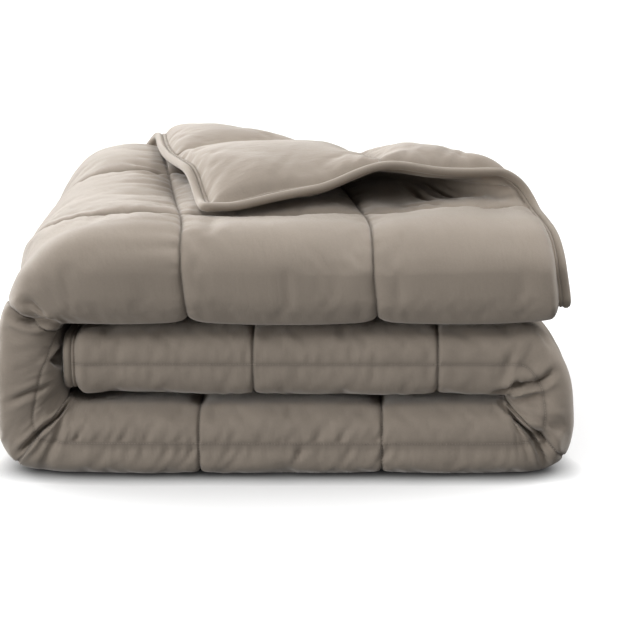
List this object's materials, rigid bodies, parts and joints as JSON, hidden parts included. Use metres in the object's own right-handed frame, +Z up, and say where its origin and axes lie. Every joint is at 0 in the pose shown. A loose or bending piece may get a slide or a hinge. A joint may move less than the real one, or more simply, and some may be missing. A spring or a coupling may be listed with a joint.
{
  "type": "folded duvet",
  "caption": "Quilted duvet in a plain cover, folded in three and rolled in three, with one corner of the top layer turned over.",
  "frame": {"origin": "on the floor under the middle of the folded pile", "axes": "+X to the right as seen from the front fold, +Y to the back, +Z up"},
  "size_m": [0.7775, 0.8499, 0.4247],
  "materials": {
    "cover": "matt brushed microfibre",
    "piping": "matt brushed microfibre"
  },
  "bodies": {
    "root": {"duvet": "cover", "edge_piping": "piping"}
  },
  "joints": []
}
